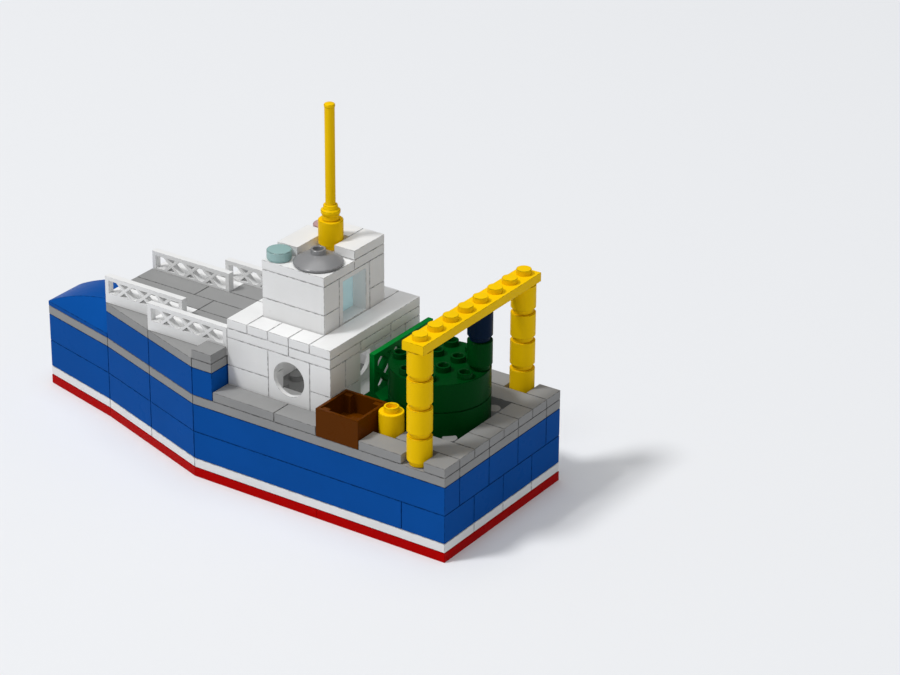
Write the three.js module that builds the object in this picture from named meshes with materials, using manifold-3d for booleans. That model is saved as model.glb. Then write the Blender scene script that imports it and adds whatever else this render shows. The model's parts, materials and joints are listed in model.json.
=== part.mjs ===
import * as THREE from "three";
import { mergeVertices } from "three/addons/utils/BufferGeometryUtils.js";
import Module from "manifold-3d";

// A fishing trawler built of toy bricks, at the toy's own size.
// Millimetres, +X to the bow, +Y to port, +Z up, origin under the middle of the hull on the ground.

// Sizes of the brick system
const STUD = 8;
const PLATE = 3.2;
const STUD_RADIUS = 2.4;
const STUD_HEIGHT = 1.7;
const STUD_HOLE_RADIUS = 1.6;
const ROUND_STEPS = 24;

// Size of the hull, in studs and plates
const HULL_LENGTH = 22;
const HULL_BEAM = 8;
const MID_BEAM = HULL_BEAM / 2;
const DECK = 9;
const FOREDECK = 13;
const BREAK = 11;
const BOW_START = 12;
const BOW_PIECE = 18;

// The port side of the bow, from the parallel body to the stem: studs forward, studs in from port
const BOW_TAPER = [
  { u: 12, v: 0 },
  { u: 15, v: 1 },
  { u: 18, v: 2 },
  { u: 22, v: 3 },
];

// Paints of the bricks: colour, roughness
const paint = (color, roughness = 0.35, more = {}) =>
  new THREE.MeshStandardMaterial({ color, roughness, metalness: 0, ...more });
const PAINTS = {
  red: paint(0xa5080c),
  white: paint(0xf2f2f0),
  blue: paint(0x1a55a5),
  grey: paint(0x9a9c9b),
  yellow: paint(0xf5c400),
  dark_green: paint(0x00451a),
  green: paint(0x007a33),
  navy: paint(0x1b2a42),
  brown: paint(0x5b2f0c),
  silver: paint(0x8e9092, 0.25, { metalness: 0.8 }),
  teal_clear: paint(0x63b1aa, 0.1, { transparent: true, opacity: 0.6 }),
  red_clear: paint(0xc23a44, 0.1, { transparent: true, opacity: 0.6 }),
  blue_glass: paint(0xa4d7e6, 0.05, { transparent: true, opacity: 0.4 }),
};

const wasm = await Module();
wasm.setup();

// Grid places to millimetres: u studs forward of the stern, v studs in from port, z plates up
const xOf = (u) => (u - HULL_LENGTH / 2) * STUD;
const yOf = (v) => (MID_BEAM - v) * STUD;
const zOf = (z) => z * PLATE;

function solid(geometry) {
  const bare = geometry.clone();
  bare.deleteAttribute("normal");
  bare.deleteAttribute("uv");
  const merged = mergeVertices(bare, 1e-4);
  const vertProperties = new Float32Array(merged.getAttribute("position").array);
  const triVerts = new Uint32Array(merged.index.array);
  return new wasm.Manifold(new wasm.Mesh({ numProp: 3, vertProperties, triVerts }));
}

function geometryOf(body) {
  const mesh = body.getMesh();
  const geometry = new THREE.BufferGeometry();
  geometry.setAttribute("position", new THREE.BufferAttribute(mesh.vertProperties, 3));
  geometry.setIndex(new THREE.BufferAttribute(mesh.triVerts, 1));
  geometry.computeVertexNormals();
  return geometry;
}

const joined = (bodies) => bodies.reduce((all, body) => all.add(body));
const cut = (body, holes) => holes.reduce((rest, hole) => rest.subtract(hole), body);

// A box between two grid corners
function box(u0, u1, v0, v1, z0, z1) {
  const geometry = new THREE.BoxGeometry((u1 - u0) * STUD, (v1 - v0) * STUD, (z1 - z0) * PLATE);
  geometry.translate(xOf((u0 + u1) / 2), yOf((v0 + v1) / 2), zOf((z0 + z1) / 2));
  return solid(geometry);
}

// An outline of grid points raised from one height to another
function slab(outline, z0, z1) {
  const shape = new THREE.Shape(outline.map(({ u, v }) => new THREE.Vector2(xOf(u), yOf(v))));
  const geometry = new THREE.ExtrudeGeometry(shape, { depth: (z1 - z0) * PLATE, bevelEnabled: false });
  geometry.translate(0, 0, zOf(z0));
  return solid(geometry);
}

// A turned body: its profile is [radius, height] in millimetres, from a grid place up
function turned(profile, u, v, z, steps = ROUND_STEPS) {
  const geometry = new THREE.LatheGeometry(
    profile.map(([radius, height]) => new THREE.Vector2(radius, height)),
    steps,
  );
  geometry.rotateX(Math.PI / 2);
  geometry.translate(xOf(u), yOf(v), zOf(z));
  return solid(geometry);
}

const stud = (u, v, z, steps = 16) =>
  turned([[0, -0.4], [STUD_RADIUS, -0.4], [STUD_RADIUS, STUD_HEIGHT], [0, STUD_HEIGHT]], u, v, z, steps);

const studHole = (u, v, z, steps = 12) =>
  turned([[0, 0.2], [STUD_HOLE_RADIUS, 0.2], [STUD_HOLE_RADIUS, 4], [0, 4]], u, v, z, steps);

const hull = new THREE.Group();
const fittings = new THREE.Group();
const trawler = new THREE.Group();
trawler.add(hull, fittings);

function piece(name, body, paintName, parent = hull) {
  const mesh = new THREE.Mesh(geometryOf(body), PAINTS[paintName]);
  mesh.name = name;
  parent.add(mesh);
  return mesh;
}

// The outline of the hull from one station to the stem, port side first
function hullOutline(from, to) {
  const port = [{ u: from, v: 0 }];
  for (const point of BOW_TAPER) {
    if (point.u > from && point.u <= to) port.push(point);
  }
  const starboard = port.map(({ u, v }) => ({ u, v: HULL_BEAM - v })).reverse();
  return [...port, ...starboard];
}

// Courses of the hull: name, lowest plate, highest plate, paint
const COURSES = [
  { name: "bottom_plates", low: 0, high: 1, paint: "red" },
  { name: "waterline_plates", low: 1, high: 2, paint: "white" },
  { name: "hull_bricks_lower_aft", low: 2, high: 5, paint: "blue", from: 0, to: BOW_START },
  { name: "hull_bricks_lower_bow", low: 2, high: 5, paint: "blue", from: BOW_START },
  { name: "hull_bricks_upper_aft", low: 5, high: 8, paint: "blue", from: 0, to: BOW_START },
  { name: "hull_bricks_upper_bow", low: 5, high: 8, paint: "blue", from: BOW_START },
  { name: "foredeck_bricks", low: 9, high: 12, paint: "blue", from: BREAK, to: BOW_PIECE },
  { name: "foredeck_plate", low: 12, high: 13, paint: "grey", from: BREAK, to: BOW_PIECE },
];
for (const { name, low, high, paint: paintName, from = 0, to = HULL_LENGTH } of COURSES) {
  const outline = hullOutline(from, to);
  if (to === BOW_START) outline.splice(1, 2, { u: to, v: 0 }, { u: to, v: HULL_BEAM });
  piece(name, slab(outline, low, high), paintName);
}

// The main deck's plates, with the studs that nothing covers: some on the open deck, and all in the cabin
const OPEN_DECK_CELLS = [
  { u: 1.5, v: 2.5 },
  { u: 1.5, v: 5.5 },
  { u: 4.5, v: 2.5 },
  { u: 4.5, v: 5.5 },
  { u: 5.5, v: 2.5 },
];
const CABIN_ROOM = { u0: 7, u1: 10, v0: 2, v1: 6 };
const cabinCells = [];
for (let u = CABIN_ROOM.u0; u < CABIN_ROOM.u1; u += 1) {
  for (let v = CABIN_ROOM.v0; v < CABIN_ROOM.v1; v += 1) cabinCells.push({ u: u + 0.5, v: v + 0.5 });
}
const deckStuds = [...OPEN_DECK_CELLS, ...cabinCells].map(({ u, v }) => stud(u, v, DECK));
piece("deck_plates", joined([slab(hullOutline(0, HULL_LENGTH), 8, 9), ...deckStuds]), "grey");

// Flat tiles and plain bricks: name, paint, and boxes of u0, u1, v0, v1, z0, z1 that touch
const BLOCKS = [
  {
    name: "stern_tiles",
    paint: "grey",
    boxes: [[0, 1, 0, 8, 9, 10], [1, 3, 1, 2, 9, 10], [1, 5, 6, 7, 9, 10]],
  },
  { name: "port_gunwale_tile_aft", paint: "grey", boxes: [[2, 4, 0, 1, 9, 10]] },
  { name: "port_gunwale_tiles_fore", paint: "grey", boxes: [[6, 11, 0, 1, 9, 10]] },
  { name: "starboard_gunwale_tiles", paint: "grey", boxes: [[2, 11, 7, 8, 9, 10]] },
  { name: "step_tile_port", paint: "grey", boxes: [[11, 12, 0, 1, 13, 14]] },
  { name: "step_tile_starboard", paint: "grey", boxes: [[11, 12, 7, 8, 13, 14]] },
  { name: "foredeck_tiles_port", paint: "grey", boxes: [[11, 18, 3, 4, 13, 14], [11, 14, 2, 3, 13, 14]] },
  {
    name: "foredeck_tiles_starboard",
    paint: "grey",
    boxes: [[11, 18, 4, 5, 13, 14], [11, 14, 5, 6, 13, 14]],
  },
  {
    name: "cabin_front_bricks_lower",
    paint: "white",
    boxes: [[9, 11, 1, 2, 9, 12], [10, 11, 2, 6, 9, 12], [9, 11, 6, 7, 9, 12]],
  },
  {
    name: "cabin_front_bricks_upper",
    paint: "white",
    boxes: [[9, 11, 1, 2, 12, 15], [10, 11, 2, 6, 12, 15], [9, 11, 6, 7, 12, 15]],
  },
  { name: "cabin_aft_bricks_port", paint: "white", boxes: [[6, 7, 1, 3, 9, 15]] },
  { name: "cabin_aft_bricks_starboard", paint: "white", boxes: [[6, 7, 5, 7, 9, 15]] },
  { name: "cabin_roof_plates", paint: "white", boxes: [[6, 11, 1, 7, 15, 16]] },
  {
    name: "cabin_roof_tiles",
    paint: "white",
    boxes: [[6, 7, 1, 7, 16, 17], [7, 10, 1, 2, 16, 17], [7, 10, 6, 7, 16, 17], [10, 11, 1, 7, 16, 17]],
  },
  { name: "wheelhouse_wall_port", paint: "white", boxes: [[7, 10, 2, 3, 16, 22]] },
  { name: "wheelhouse_wall_starboard", paint: "white", boxes: [[7, 10, 5, 6, 16, 22]] },
  { name: "wheelhouse_roof_plate_starboard", paint: "white", boxes: [[7, 10, 4, 6, 22, 23]] },
  { name: "roof_tile_aft", paint: "white", boxes: [[7, 8, 4, 6, 23, 24]] },
  { name: "roof_tile_side", paint: "white", boxes: [[8, 9, 5, 6, 23, 24]] },
  { name: "roof_tile_fore", paint: "white", boxes: [[9, 10, 3, 5, 23, 24]] },
];
for (const { name, paint: paintName, boxes } of BLOCKS) {
  piece(name, joined(boxes.map((corners) => box(...corners))), paintName);
}

// The bow piece: a wedge whose flat ridge falls to the stem along one arc,
// with shoulders that slope, a little crowned, down to a low upright rim
const BOW_RIM = 0.45;
const RIDGE = { v0: 3, top: 12, radius: 68 };
const BOW_STATIONS = 12;
const SHOULDER = { steps: 4, crown: 0.16 };
function bowSection(u) {
  const back = (u - BOW_PIECE) * STUD;
  const drop = RIDGE.radius - Math.sqrt(RIDGE.radius ** 2 - back ** 2);
  const rim = zOf(DECK + BOW_RIM);
  const ridge = Math.max(zOf(RIDGE.top) - drop, rim + 0.02);
  const edge = 2 + (u - BOW_PIECE) / (HULL_LENGTH - BOW_PIECE);
  const side = [[edge, zOf(DECK)]];
  const reach = Math.max(RIDGE.v0 - edge, 0.02);
  for (let i = 0; i <= SHOULDER.steps; i += 1) {
    const along = i / SHOULDER.steps;
    const lift = along + SHOULDER.crown * along * (1 - along);
    side.push([edge + reach * along, rim + (ridge - rim) * lift]);
  }
  const mirrored = side.map(([v, height]) => [HULL_BEAM - v, height]).reverse();
  return [...side, ...mirrored].map(([v, height]) => [xOf(u), yOf(v), height]);
}
function loft(sections) {
  const count = sections[0].length;
  const points = sections.flat();
  const faces = [];
  for (let s = 0; s + 1 < sections.length; s += 1) {
    for (let i = 0; i < count; i += 1) {
      const a = s * count + i;
      const b = s * count + ((i + 1) % count);
      faces.push([a, b, a + count], [b, b + count, a + count]);
    }
  }
  const last = (sections.length - 1) * count;
  for (let i = 1; i + 1 < count; i += 1) {
    faces.push([0, i + 1, i], [last, last + i, last + i + 1]);
  }
  const geometry = new THREE.BufferGeometry();
  geometry.setAttribute("position", new THREE.Float32BufferAttribute(points.flat(), 3));
  geometry.setIndex(faces.flat());
  return solid(geometry);
}
const bowSections = Array.from({ length: BOW_STATIONS + 1 }, (_, i) =>
  bowSection(BOW_PIECE + ((HULL_LENGTH - BOW_PIECE) * i) / BOW_STATIONS),
);
piece("bow_wedge", loft(bowSections), "blue");

// Foredeck fences: a base one stud wide with an upright lattice along its port edge
const FENCE_LENGTH = 4 * STUD;
const FENCE_HEIGHT = 9.4;
const FENCE_THICKNESS = 2.3;
const FENCE_POST = 1.6;
const FENCE_HOLES = { low: 3.6, high: 8.0 };
const CROSS = { reach: 2.5, half_bar: 0.5 };
function fenceHoles() {
  const middle = (FENCE_HOLES.low + FENCE_HOLES.high) / 2;
  const rise = FENCE_HOLES.high - middle;
  const slope = Math.hypot(CROSS.reach, rise);
  const beside = (CROSS.half_bar * slope) / rise;
  const above = (CROSS.half_bar * slope) / CROSS.reach;
  const flare = (CROSS.reach * (rise - above)) / rise;
  const holes = [];
  for (let x = 0; x < FENCE_LENGTH; x += STUD) {
    const left = x === 0 ? [[FENCE_POST, FENCE_HOLES.high], [FENCE_POST, FENCE_HOLES.low]] : [
      [x + beside + CROSS.reach, FENCE_HOLES.high],
      [x + beside, middle],
      [x + beside + CROSS.reach, FENCE_HOLES.low],
    ];
    const end = x + STUD;
    const last = FENCE_LENGTH - FENCE_POST;
    const right = end === FENCE_LENGTH ? [[last, FENCE_HOLES.low], [last, FENCE_HOLES.high]] : [
      [end - beside - CROSS.reach, FENCE_HOLES.low],
      [end - beside, middle],
      [end - beside - CROSS.reach, FENCE_HOLES.high],
    ];
    holes.push([...left, ...right]);
    if (end < FENCE_LENGTH) {
      for (const [tip, wide] of [[middle + above, FENCE_HOLES.high], [middle - above, FENCE_HOLES.low]]) {
        holes.push([[end, tip], [end + flare, wide], [end - flare, wide]]);
      }
    }
  }
  return holes;
}
// An upright panel that faces port, from its outline, its lower aft corner at the origin
function upright(outline, thickness) {
  const shape = new THREE.Shape(outline.map(([x, y]) => new THREE.Vector2(x, y)));
  const geometry = new THREE.ExtrudeGeometry(shape, { depth: thickness, bevelEnabled: false });
  geometry.rotateX(Math.PI / 2);
  return solid(geometry);
}
const panel = (length, height, thickness) =>
  upright([[0, 0], [length, 0], [length, height], [0, height]], thickness);
const hole = (outline, thickness) => upright(outline, 3 * thickness).translate([0, thickness, 0]);
const FENCES = [
  { name: "fence_port_fore", u: 14, v: 2 },
  { name: "fence_port_aft", u: 11, v: 1 },
  { name: "fence_starboard_fore", u: 14, v: 5 },
  { name: "fence_starboard_aft", u: 11, v: 6 },
];
for (const { name, u, v } of FENCES) {
  const holes = fenceHoles().map((outline) => hole(outline, FENCE_THICKNESS));
  const lattice = cut(panel(FENCE_LENGTH, FENCE_HEIGHT, FENCE_THICKNESS), holes);
  const base = box(u, u + 4, v, v + 1, FOREDECK, FOREDECK + 1);
  piece(name, lattice.translate([xOf(u), yOf(v), zOf(FOREDECK)]).add(base), "white");
}

// Cabin panels with a round porthole: a thin face, on a shelf one plate high and one stud deep
// and under a thin flange. The side panels have their faces outside, the aft one its face inside.
const PORTHOLE = { radius: 5.8, middle: 3.5 * PLATE, length: 2 * STUD, height: 6 * PLATE };
const PORTHOLE_FACE = 0.2 * STUD;
const PORTHOLE_FLANGE = 1;
const PAST = 1;
function portholePanel() {
  const { radius, middle, length, height } = PORTHOLE;
  const room = panel(length + 2 * PAST, height - PLATE - PORTHOLE_FLANGE, STUD);
  const eye = new THREE.CylinderGeometry(radius, radius, 3 * STUD, ROUND_STEPS);
  return cut(panel(length, height, STUD), [
    room.translate([-PAST, -PORTHOLE_FACE, PLATE]),
    solid(eye).translate([length / 2, 0, middle]),
  ]);
}
for (const { name, u, v, turn } of [
  { name: "porthole_panel_port", u: 7, v: 1, turn: 0 },
  { name: "porthole_panel_starboard", u: 9, v: 7, turn: 180 },
  { name: "porthole_panel_aft", u: 7, v: 3, turn: -90 },
]) {
  piece(name, portholePanel().rotate([0, 0, turn]).translate([xOf(u), yOf(v), zOf(DECK)]), "white");
}

// Wheelhouse windows: a frame two studs wide and two bricks high, glazed near its inner side
const WINDOW = { v0: 3, v1: 5, z0: 16, z1: 22, jamb: 0.25, sill: 1.05, head: 0.55, pane: 0.12 };
for (const { name, u, glass } of [
  { name: "aft", u: 7, glass: 7.64 },
  { name: "fore", u: 9, glass: 9.24 },
]) {
  const light = [
    WINDOW.v0 + WINDOW.jamb,
    WINDOW.v1 - WINDOW.jamb,
    WINDOW.z0 + WINDOW.sill,
    WINDOW.z1 - WINDOW.head,
  ];
  const frame = box(u, u + 1, WINDOW.v0, WINDOW.v1, WINDOW.z0, WINDOW.z1);
  piece(`window_frame_${name}`, frame.subtract(box(u - 1, u + 2, ...light)), "white");
  piece(`window_glass_${name}`, box(glass, glass + WINDOW.pane, ...light), "blue_glass");
}

// Wheelhouse roof plate to port: smooth, with the one stud that the dish turns on
const DISH = { u: 8, v: 3, z: 23 };
const dishStud = stud(DISH.u, DISH.v, DISH.z);
piece("wheelhouse_roof_plate_port", box(7, 10, 2, 4, 22, 23).add(dishStud), "white");

// Radar dish: a shallow dome with a hollow stud on top and a socket below, turning on the stud
const DISH_PROFILE = [
  [0, 1.9],
  [2.5, 1.9],
  [2.5, 0.25],
  [3.3, 0.25],
  [3.3, 2.3],
  [5.6, 1.5],
  [7.2, 0.7],
  [7.4, 0.2],
  [7.85, 0.2],
  [7.85, 0.95],
  [6.0, 2.1],
  [4.2, 2.9],
  [2.4, 3.3],
  [2.4, 5.0],
  [1.6, 5.0],
  [1.6, 3.1],
  [0, 3.1],
];
piece("radar_dish", turned(DISH_PROFILE, DISH.u, DISH.v, DISH.z, 32), "silver", fittings);

// Round bricks: a body one stud across on a narrower neck
const ROUND = { radius: 4, neck: 3.2, neck_height: 1.6 };
function roundBrick(u, v, z, high = 3) {
  const top = high * PLATE;
  return turned(
    [[0, 0], [ROUND.neck, 0], [ROUND.neck, ROUND.neck_height], [ROUND.radius, ROUND.neck_height],
      [ROUND.radius, top], [0, top]],
    u, v, z,
  );
}
const hollowStud = (u, v, z) => stud(u, v, z).subtract(studHole(u, v, z));

const MAST = { u: 8.5, v: 4.5, z: 23 };
const mastStud = stud(MAST.u, MAST.v, MAST.z + 3);
piece("mast_base", roundBrick(MAST.u, MAST.v, MAST.z).add(mastStud), "yellow", fittings);

// Mast: a ribbed socket over the stud of its base, and a plain round rod
const MAST_HEIGHT = 12 * PLATE;
const MAST_PROFILE = [
  [0, 1.9],
  [2.5, 1.9],
  [2.5, 0.1],
  [2.75, 0.1],
  [2.75, 1.6],
  [3.1, 2.3],
  [3.1, 3.2],
  [2.3, 3.8],
  [2.3, 4.9],
  [1.6, 5.2],
  [1.6, MAST_HEIGHT - 1.2],
  [1.75, MAST_HEIGHT - 0.9],
  [1.75, MAST_HEIGHT - 0.4],
  [1.3, MAST_HEIGHT],
  [0, MAST_HEIGHT],
];
piece("mast", turned(MAST_PROFILE, MAST.u, MAST.v, MAST.z + 3), "yellow", fittings);

// Side lamps: round tiles on the forward corners of the roof
const LAMP_PROFILE = [[0, 0], [3.7, 0], [3.7, 0.5], [4, 0.5], [4, 2.9], [3.7, PLATE], [0, PLATE]];
piece("lamp_port", turned(LAMP_PROFILE, 9.5, 2.5, 23), "teal_clear", fittings);
piece("lamp_starboard", turned(LAMP_PROFILE, 9.5, 5.5, 23), "red_clear", fittings);

// Gantry: a pillar of four round bricks a side and a studded beam across them
const GANTRY = { u: 1.5, low: 9, bricks: 4 };
for (const { name, v } of [
  { name: "gantry_pillar_port", v: 0.5 },
  { name: "gantry_pillar_starboard", v: 7.5 },
]) {
  const stack = Array.from({ length: GANTRY.bricks }, (_, i) => roundBrick(GANTRY.u, v, GANTRY.low + 3 * i));
  piece(name, joined(stack), "yellow", fittings);
}
const beamHeight = GANTRY.low + 3 * GANTRY.bricks;
const beamStuds = Array.from({ length: HULL_BEAM }, (_, i) => stud(GANTRY.u, i + 0.5, beamHeight + 1));
piece("gantry_beam", joined([box(1, 2, 0, 8, beamHeight, beamHeight + 1), ...beamStuds]), "yellow", fittings);

// Net: a drum of two round bricks, with the column that ties it to the gantry beam
const NET = { u: 3, v: 4, radius: 16, z: 9, column: 4.5 };
const netDrum = (z) =>
  turned([[0, 0], [NET.radius, 0], [NET.radius, 3 * PLATE], [0, 3 * PLATE]], NET.u, NET.v, z, 48);
const NOTCH = { radius: STUD_RADIUS + 0.3, height: STUD_HEIGHT + 0.2 };
const notchProfile = [[0, -1], [NOTCH.radius, -1], [NOTCH.radius, NOTCH.height], [0, NOTCH.height]];
const cornerNotches = [];
for (const du of [-1.5, 1.5]) {
  for (const dv of [-1.5, 1.5]) {
    cornerNotches.push(turned(notchProfile, NET.u + du, NET.v + dv, NET.z, 16));
  }
}
piece("net_drum_lower", cut(netDrum(NET.z), cornerNotches), "dark_green", fittings);
const netStuds = [];
for (let i = 0; i < 4; i += 1) {
  for (let j = 0; j < 4; j += 1) {
    const corner = (i === 0 || i === 3) && (j === 0 || j === 3);
    const place = { u: NET.u - 1.5 + i, v: NET.v - 1.5 + j };
    const covered = place.u === GANTRY.u && place.v === NET.column;
    if (!corner && !covered) netStuds.push(hollowStud(place.u, place.v, NET.z + 6));
  }
}
piece("net_drum_upper", joined([netDrum(NET.z + 3), ...netStuds]), "dark_green", fittings);
piece("net_column_lower", roundBrick(GANTRY.u, NET.column, NET.z + 6), "dark_green", fittings);
piece("net_column_upper", roundBrick(GANTRY.u, NET.column, NET.z + 9), "navy", fittings);

// Net trellis across the deck: a framed lattice at 45 degrees, on a base one stud deep
// whose top slopes up to the panel
const TRELLIS = { u: 5.5, v0: 3, length: 32, height: 19.2, thickness: 2, post: 2, rail: 1.7 };
const TRELLIS_BASE = { u0: 5.02, u1: 5.98, upright: 3.7, top: 6.2 };
const MESH = { pitch: 8, lowest: 3.4, bar: 1.6 };
function trellisLattice() {
  const { length, height, thickness, post, rail } = TRELLIS;
  const low = TRELLIS_BASE.top;
  const inside = [[post, low], [length - post, low], [length - post, height - rail], [post, height - rail]];
  const room = hole(inside, thickness);
  const half = (MESH.pitch - MESH.bar * Math.SQRT2) / 2;
  const holes = [];
  for (let row = 0; MESH.lowest + (row * MESH.pitch) / 2 <= height; row += 1) {
    const z = MESH.lowest + (row * MESH.pitch) / 2;
    for (let x = row % 2 ? MESH.pitch / 2 : 0; x <= length; x += MESH.pitch) {
      const diamond = [[x - half, z], [x, z - half], [x + half, z], [x, z + half]];
      const opening = hole(diamond, thickness).intersect(room);
      if (!opening.isEmpty()) holes.push(opening);
    }
  }
  return cut(panel(length, height, thickness), holes);
}
const trellisPanel = trellisLattice()
  .rotate([0, 0, -90])
  .translate([xOf(TRELLIS.u) + TRELLIS.thickness / 2, yOf(TRELLIS.v0), zOf(DECK)]);
const faceFore = TRELLIS.thickness / 2;
const baseAft = xOf(TRELLIS_BASE.u0) - xOf(TRELLIS.u);
const baseFore = xOf(TRELLIS_BASE.u1) - xOf(TRELLIS.u);
const baseSection = [
  [baseAft, 0],
  [baseFore, 0],
  [baseFore, TRELLIS_BASE.upright],
  [faceFore, TRELLIS_BASE.top],
  [-faceFore, TRELLIS_BASE.top],
  [baseAft, TRELLIS_BASE.upright],
];
const trellisBase = upright(baseSection, TRELLIS.length)
  .translate([xOf(TRELLIS.u), yOf(TRELLIS.v0), zOf(DECK)]);
piece("net_trellis", trellisPanel.add(trellisBase), "green", fittings);

// Fish crate: an open box with a floor one plate thick and a post in each corner
const CRATE = { u: 4, v: 0, size: 2, wall: 0.15, floor: 1, post_u: 0.49, post_v: 0.38, post_drop: 0.1 };
const crateTop = DECK + 3;
const crateRoom = box(
  CRATE.u + CRATE.wall, CRATE.u + CRATE.size - CRATE.wall,
  CRATE.v + CRATE.wall, CRATE.v + CRATE.size - CRATE.wall,
  DECK + CRATE.floor, crateTop + 1,
);
const cratePosts = [];
for (const u of [CRATE.u, CRATE.u + CRATE.size - CRATE.post_u]) {
  for (const v of [CRATE.v, CRATE.v + CRATE.size - CRATE.post_v]) {
    cratePosts.push(box(u, u + CRATE.post_u, v, v + CRATE.post_v, DECK, crateTop - CRATE.post_drop));
  }
}
const crateBlock = box(
  CRATE.u, CRATE.u + CRATE.size,
  CRATE.v, CRATE.v + CRATE.size,
  DECK, crateTop,
);
const crateShell = crateBlock.subtract(crateRoom);
piece("fish_crate", joined([crateShell, ...cratePosts]), "brown", fittings);

// Barrel: one round brick with its hollow stud
const BARREL = { u: 3.5, v: 1.5 };
const barrelStud = hollowStud(BARREL.u, BARREL.v, DECK + 3);
piece("barrel", roundBrick(BARREL.u, BARREL.v, DECK).add(barrelStud), "yellow", fittings);

export default trawler;
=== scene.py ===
import json
import math

import bmesh
import bpy
from mathutils import Matrix, Vector

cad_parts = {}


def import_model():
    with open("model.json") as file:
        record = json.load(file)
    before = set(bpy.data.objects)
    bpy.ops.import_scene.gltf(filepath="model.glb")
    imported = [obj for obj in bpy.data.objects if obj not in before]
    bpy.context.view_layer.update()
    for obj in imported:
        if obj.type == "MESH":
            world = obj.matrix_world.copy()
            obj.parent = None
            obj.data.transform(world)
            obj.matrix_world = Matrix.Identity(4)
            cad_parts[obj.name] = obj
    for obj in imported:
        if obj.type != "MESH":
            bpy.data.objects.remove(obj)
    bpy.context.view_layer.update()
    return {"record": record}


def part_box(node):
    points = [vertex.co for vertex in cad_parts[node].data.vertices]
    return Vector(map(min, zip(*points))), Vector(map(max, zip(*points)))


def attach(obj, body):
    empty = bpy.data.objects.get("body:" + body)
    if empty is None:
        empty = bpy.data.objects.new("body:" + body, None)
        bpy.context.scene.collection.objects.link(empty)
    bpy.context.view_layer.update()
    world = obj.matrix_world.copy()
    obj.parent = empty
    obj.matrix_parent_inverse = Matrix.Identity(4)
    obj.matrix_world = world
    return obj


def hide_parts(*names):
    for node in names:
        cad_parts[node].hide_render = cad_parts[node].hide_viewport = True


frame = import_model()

# Sizes of the brick system, in metres
MM = 0.001
STUD = 8 * MM
PLATE = 3.2 * MM
STUD_RADIUS = 2.4 * MM
STUD_HEIGHT = 1.7 * MM
STUD_RIM = 0.18 * MM
STUD_ROOT = 0.3 * MM
STUD_HOLE_RADIUS = 1.6 * MM
STUD_HOLE_FLOOR = 0.2 * MM

# Heights in plates: a brick, then the tops of the decks, and the wheelhouse's foot, walls and roof plate
BRICK = 3
DECK = 9
FOREDECK = 13
WHEELHOUSE_FOOT = 16
WHEELHOUSE_WALLS = 22
WHEELHOUSE_ROOF = 23

# Hair gaps beside and under each brick, rounds of the edges, and a tuck that parts faces of one plane
SIDE_GAP = 0.11 * MM
STACK_GAP = 0.08 * MM
EDGE_ROUND = 0.16 * MM
PANEL_ROUND = 0.14 * MM
FINE_ROUND = 0.12 * MM
TUCK = 0.02 * MM

# Sides of the turned bodies and round holes
STUD_SIDES = 32
TUBE_SIDES = 20
ROUND_SIDES = 48
DISH_SIDES = 64
DRUM_SIDES = 96

# The grid: u counts studs from the stern, v studs from the port side and z plates up from the ground.
# Its corner, its length and its beam come from the frame.
HULL_LOW, HULL_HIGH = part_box("bottom_plates")
LENGTH = round((HULL_HIGH.x - HULL_LOW.x) / STUD)
BEAM = round((HULL_HIGH.y - HULL_LOW.y) / STUD)


def x_of(u):
    return HULL_LOW.x + u * STUD


def y_of(v):
    return HULL_HIGH.y - v * STUD


def z_of(z):
    return HULL_LOW.z + z * PLATE


def place(u, v, z):
    return Vector((x_of(u), y_of(v), z_of(z)))


# Mesh building blocks. A face of a rounded edge carries the material number EDGE until the piece is done.
# On turned bodies and the bow piece it is a face narrower than EDGE_WIDTH.
EDGE = 1
EDGE_WIDTH = 0.3 * MM
SHARP_ANGLE = math.radians(25)
ROUND_SEGMENTS = 2
MERGE_DISTANCE = 0.001 * MM


def absorb(target, part):
    """Adds the faces of one bmesh to another and frees it."""
    mesh = bpy.data.meshes.new("part")
    part.to_mesh(mesh)
    part.free()
    target.from_mesh(mesh)
    bpy.data.meshes.remove(mesh)


def soften(part, width):
    """Rounds every sharp edge of a part."""
    part.normal_update()
    sharp = [e for e in part.edges if len(e.link_faces) == 2 and e.calc_face_angle(0) > SHARP_ANGLE]
    bmesh.ops.bevel(part, geom=sharp, offset=width, segments=ROUND_SEGMENTS, profile=0.5,
                    affect="EDGES", clamp_overlap=True, material=EDGE)


def wall_round(part, a, b):
    """Faces between two loops of as many vertices."""
    for i in range(len(a)):
        j = (i + 1) % len(a)
        part.faces.new((a[i], a[j], b[j], b[i]))


def inset(outline, gap):
    """The outline of points (x, y), counter-clockwise, moved inwards by the gap."""
    lines = []
    for a, b in zip(outline, outline[1:] + outline[:1]):
        along = (Vector(b) - Vector(a)).normalized()
        inward = Vector((-along.y, along.x))
        lines.append((Vector(a) + inward * gap, along))
    corners = []
    for (p, d), (q, e) in zip(lines[-1:] + lines[:-1], lines):
        cross = d.x * e.y - d.y * e.x
        t = ((q - p).x * e.y - (q - p).y * e.x) / cross
        corners.append(p + d * t)
    return corners


def grid_outline(points):
    """Points (u, v) as an outline in metres, counter-clockwise."""
    outline = [Vector((x_of(u), y_of(v))) for u, v in points]
    area = sum(a.x * b.y - b.x * a.y for a, b in zip(outline, outline[1:] + outline[:1]))
    return outline if area > 0 else outline[::-1]


def rectangle(u0, u1, v0, v1):
    """The corners of a rectangle, given where its sides lie."""
    return [(u0, v0), (u1, v0), (u1, v1), (u0, v1)]


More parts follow.
